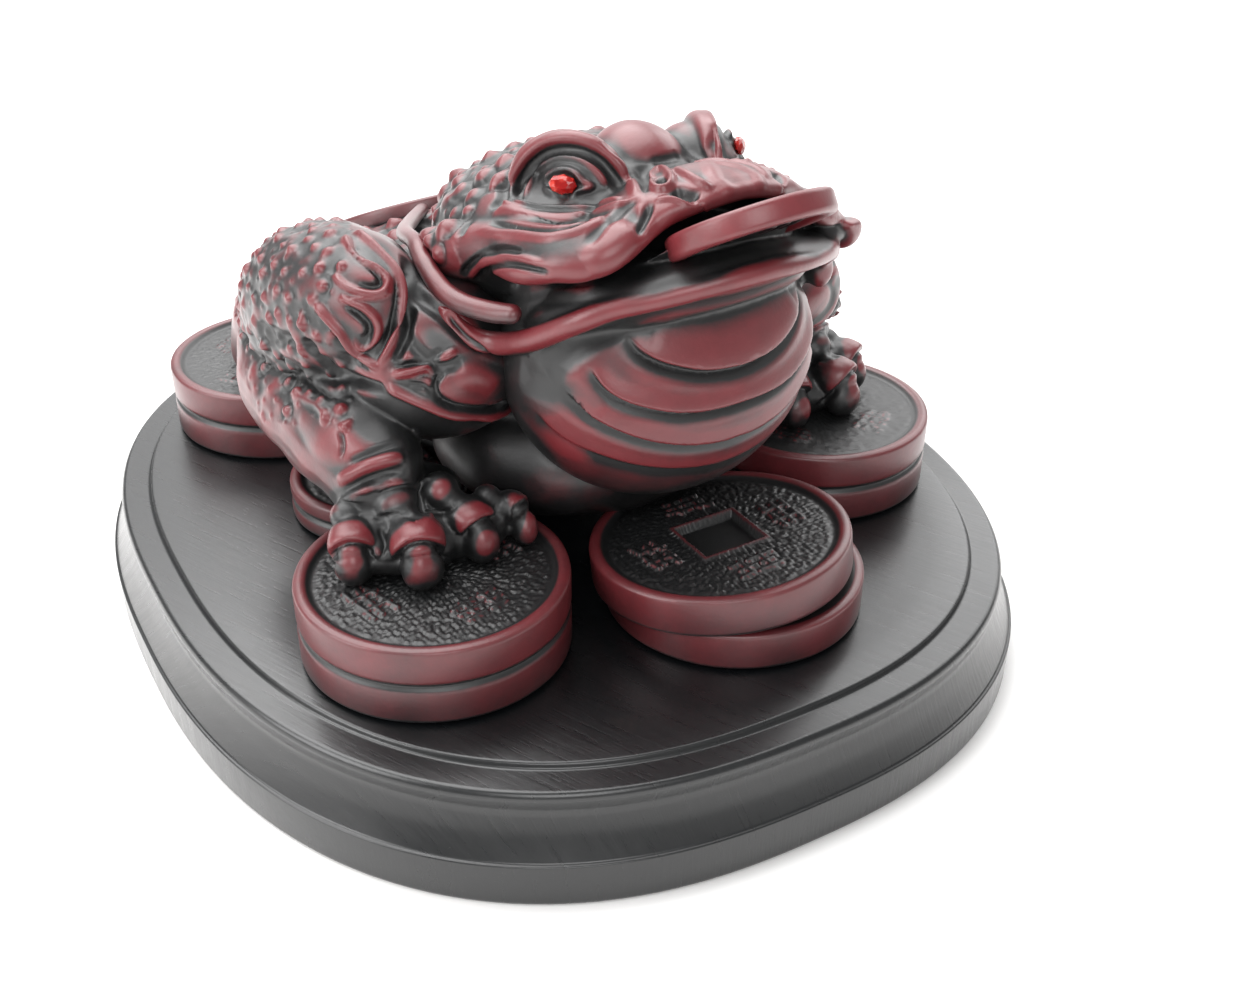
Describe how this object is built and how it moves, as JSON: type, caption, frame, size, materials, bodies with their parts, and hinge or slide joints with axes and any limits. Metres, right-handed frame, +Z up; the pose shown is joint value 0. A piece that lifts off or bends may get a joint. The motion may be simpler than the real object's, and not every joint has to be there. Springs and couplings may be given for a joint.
{
  "type": "money toad figure",
  "caption": "Crouching warty toad in dark red resin, resting on piles of coins with a coin in its mouth, on a stepped oval black wooden plinth.",
  "frame": {"origin": "middle of the plinth's flat underside", "axes": "+Z up, -Y towards the side that the toad looks to, +X towards the toad's left"},
  "size_m": [0.127, 0.147, 0.0769],
  "materials": {
    "plinth_lacquer": "black lacquer, satin",
    "red_resin": "dark red resin with a black wash, satin gloss",
    "eye_glass": "faceted red glass"
  },
  "bodies": {
    "root": {"plinth": "plinth_lacquer", "toad_casting": "red_resin", "mouth_coin": "red_resin", "eye_gem_right": "eye_glass", "eye_gem_left": "eye_glass"}
  },
  "joints": []
}
